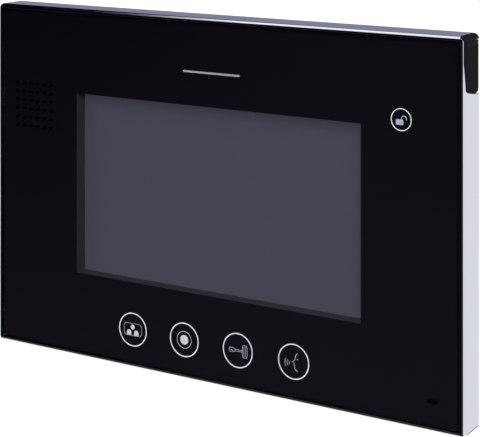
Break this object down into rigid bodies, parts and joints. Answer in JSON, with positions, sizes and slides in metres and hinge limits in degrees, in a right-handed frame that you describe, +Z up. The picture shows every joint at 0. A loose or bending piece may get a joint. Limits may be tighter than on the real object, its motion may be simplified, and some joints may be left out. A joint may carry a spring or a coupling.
{
  "type": "video intercom monitor",
  "caption": "Wall-hung indoor video door-entry monitor: glass touch panel in a chromed frame, colour display, speaker, microphone, side flap and steel wall bracket.",
  "frame": {"origin": "on the wall plane, at the centre of the bracket's back face", "axes": "+X to the viewer's right along the long side, +Z up, +Y into the wall, so the glass faces -Y"},
  "size_m": [0.253, 0.026, 0.169],
  "materials": {
    "clear_glass": "polished 1.1 mm cover glass with a ground bevel",
    "print_film": "black screen-printed film",
    "chrome": "bright chrome plating on moulded plastic",
    "housing_plastic": "fine moulded texture",
    "cover_plastic": "spark-eroded moulded texture",
    "lcd_cell": "dark unlit liquid-crystal cell with an anti-glare polariser",
    "lcd_steel": "folded sheet steel",
    "lcd_tray": "white moulded tray",
    "circuit_board": "green solder mask",
    "light_guide": "frosted acrylic",
    "black_rubber": "matt elastomer",
    "foam": "closed-cell foam",
    "mesh_cloth": "fine woven cloth",
    "cone_paper": "pressed paper",
    "copper_coil": "enamelled copper winding",
    "plated_steel": "zinc-plated steel",
    "component_black": "moulded epoxy",
    "connector_nylon": "natural nylon",
    "flex_film": "amber polyimide film",
    "red_wire": "extruded insulation",
    "black_wire": "extruded insulation",
    "capacitor_sleeve": "drawn can"
  },
  "bodies": {
    "bracket": {"wall_bracket": "plated_steel"},
    "monitor": {"front_glass": "clear_glass", "graphic_film": "print_film", "chrome_frame": "chrome", "front_housing": "housing_plastic", "intercom_key_lens": "light_guide", "monitor_key_lens": "light_guide", "door_key_lens": "light_guide", "talk_key_lens": "light_guide", "lock_key_lens": "light_guide", "touch_key_board": "circuit_board", "lock_key_board": "circuit_board", "key_ribbon": "flex_film", "lock_key_wire": "red_wire", "lcd_bezel": "lcd_steel", "lcd_panel": "lcd_cell", "lcd_backlight": "lcd_tray", "lcd_ribbon": "flex_film", "lcd_connector": "connector_nylon", "key_connector": "connector_nylon", "main_board": "circuit_board", "door_connector": "connector_nylon", "power_connector": "connector_nylon", "video_processor": "component_black", "audio_amplifier": "component_black", "shield_can": "plated_steel", "power_inductor": "component_black", "filter_capacitor_1": "capacitor_sleeve", "filter_capacitor_2": "capacitor_sleeve", "case_screw_1": "plated_steel", "case_screw_2": "plated_steel", "case_screw_3": "plated_steel", "case_screw_4": "plated_steel", "case_screw_5": "plated_steel", "case_screw_6": "plated_steel", "board_screw_1": "plated_steel", "board_screw_2": "plated_steel", "board_screw_3": "plated_steel", "board_screw_4": "plated_steel", "speaker_mesh": "mesh_cloth", "speaker_gasket": "foam", "speaker_frame": "plated_steel", "speaker_surround": "foam", "speaker_magnet": "plated_steel", "speaker_wire_red": "red_wire", "speaker_wire_black": "black_wire", "microphone": "plated_steel", "microphone_boot": "black_rubber", "microphone_wire": "black_wire", "adjuster_board": "circuit_board", "volume_potentiometer": "component_black", "brightness_potentiometer": "component_black", "flap_corner_strip": "black_rubber", "rear_cover": "cover_plastic"},
    "port_flap": {"port_flap": "black_rubber"},
    "volume_dial": {"volume_wheel": "housing_plastic"},
    "brightness_dial": {"brightness_wheel": "housing_plastic"},
    "speaker_diaphragm": {"speaker_cone": "cone_paper", "voice_coil": "copper_coil"}
  },
  "joints": [
    {"name": "monitor_lift", "type": "slide", "parent": "bracket", "child": "monitor", "axis": [0, 0, 1], "range_m": [0, 0.0062]},
    {"name": "flap_hinge", "type": "hinge", "parent": "monitor", "child": "port_flap", "pos_m": [0.1265, -0.01886, 0.08195], "axis": [0, -1, 0], "range_deg": [0, 110]},
    {"name": "volume_turn", "type": "hinge", "parent": "monitor", "child": "volume_dial", "pos_m": [0.1189, -0.0186, 0.0742], "axis": [0, -1, 0], "range_deg": [-135, 135]},
    {"name": "brightness_turn", "type": "hinge", "parent": "monitor", "child": "brightness_dial", "pos_m": [0.1189, -0.0186, 0.0638], "axis": [0, -1, 0], "range_deg": [-135, 135]},
    {"name": "cone_travel", "type": "slide", "parent": "monitor", "child": "speaker_diaphragm", "axis": [0, -1, 0], "range_m": [-0.0005, 0.0005], "deforming": ["speaker_surround"]}
  ]
}
